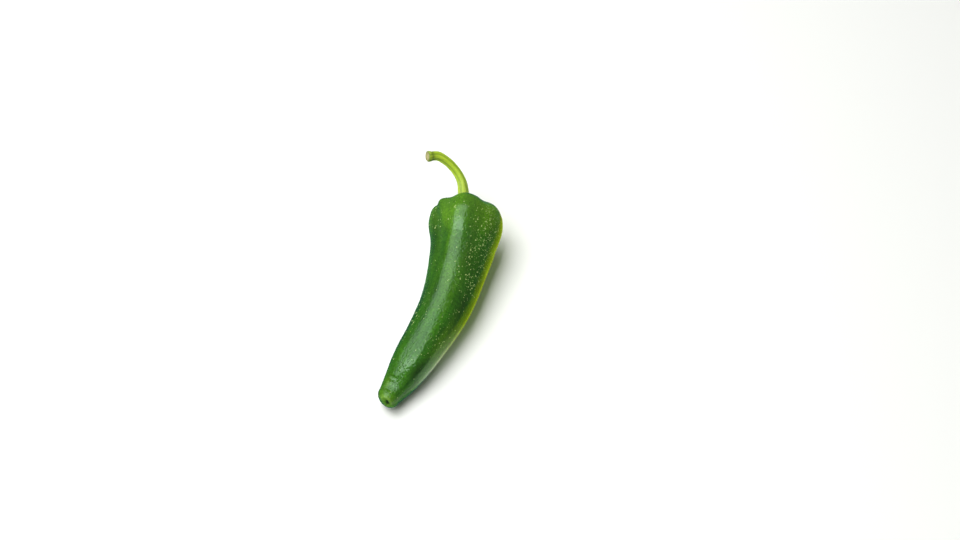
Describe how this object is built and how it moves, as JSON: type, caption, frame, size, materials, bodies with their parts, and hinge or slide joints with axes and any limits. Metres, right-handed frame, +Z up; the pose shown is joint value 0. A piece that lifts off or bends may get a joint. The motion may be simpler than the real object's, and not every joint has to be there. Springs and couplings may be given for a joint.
{
  "type": "chilli pepper",
  "caption": "Fresh green chilli pepper lying on its side: a bowed, lobed, blunt-tipped glossy pod with a toothed calyx and a curved cut stem.",
  "frame": {"origin": "on the surface that the pepper lies on, below the middle of its bounding box", "axes": "+Y from the tip towards the stem end, +Z up, +X towards the side that the pod bows out to"},
  "size_m": [0.0626, 0.1806, 0.0473],
  "materials": {
    "pod_skin": "waxy glossy green vegetable skin, darker and lighter in long streaks",
    "calyx_skin": "satin yellow-green calyx with darker teeth",
    "stem_skin": "satin ribbed yellow-green stem with a pale beige fibrous cut end"
  },
  "bodies": {
    "root": {"pod": "pod_skin", "calyx": "calyx_skin", "stem": "stem_skin"}
  },
  "joints": []
}
